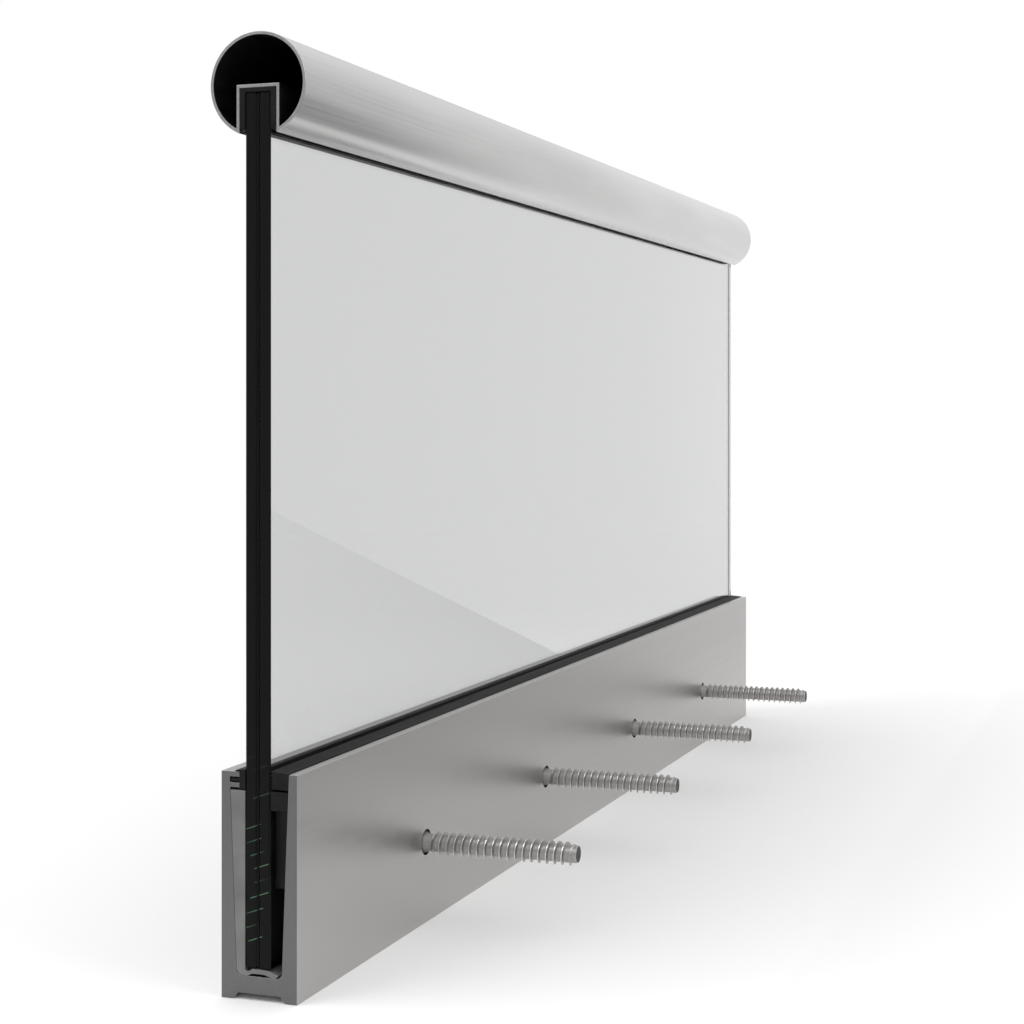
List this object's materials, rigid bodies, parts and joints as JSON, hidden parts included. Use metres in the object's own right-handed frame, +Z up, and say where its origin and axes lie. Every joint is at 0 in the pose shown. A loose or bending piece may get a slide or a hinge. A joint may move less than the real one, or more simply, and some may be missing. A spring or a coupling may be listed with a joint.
{
  "type": "glass balustrade",
  "caption": "Frameless glass balustrade run: laminated pane clamped in an aluminium base channel by supports, wedges and gaskets, with a slotted round handrail tube on top.",
  "frame": {"origin": "under the middle of the base channel, level with its feet", "axes": "X along the run, Y through its thickness and away from the slab, Z up"},
  "size_m": [0.89, 0.128, 0.442],
  "materials": {
    "satin_aluminium": "satin anodised extrusion",
    "clear_glass": "clear float glass, polished",
    "interlayer_film": "clear laminating film, dark at its edge",
    "grey_support_plastic": "mid-grey moulded plastic, fine texture",
    "black_wedge_plastic": "black moulded plastic, satin",
    "black_rubber": "black extruded rubber, matt",
    "screw_steel": "coated steel, bright countersunk heads",
    "brushed_stainless": "stainless, brushed along the tube"
  },
  "bodies": {
    "root": {"base_channel": "satin_aluminium", "glass_sheet_back": "clear_glass", "glass_sheet_front": "clear_glass", "glass_interlayer": "interlayer_film", "glass_support_1": "grey_support_plastic", "glass_support_2": "grey_support_plastic", "glass_support_3": "grey_support_plastic", "glass_support_4": "grey_support_plastic", "glass_support_5": "grey_support_plastic", "wedge_1": "black_wedge_plastic", "wedge_2": "black_wedge_plastic", "wedge_3": "black_wedge_plastic", "wedge_4": "black_wedge_plastic", "wedge_5": "black_wedge_plastic", "hook_gasket": "black_rubber", "toothed_gasket": "black_rubber", "rail_rubber": "black_rubber", "anchor_screws": "screw_steel", "handrail_tube": "brushed_stainless"}
  },
  "joints": []
}
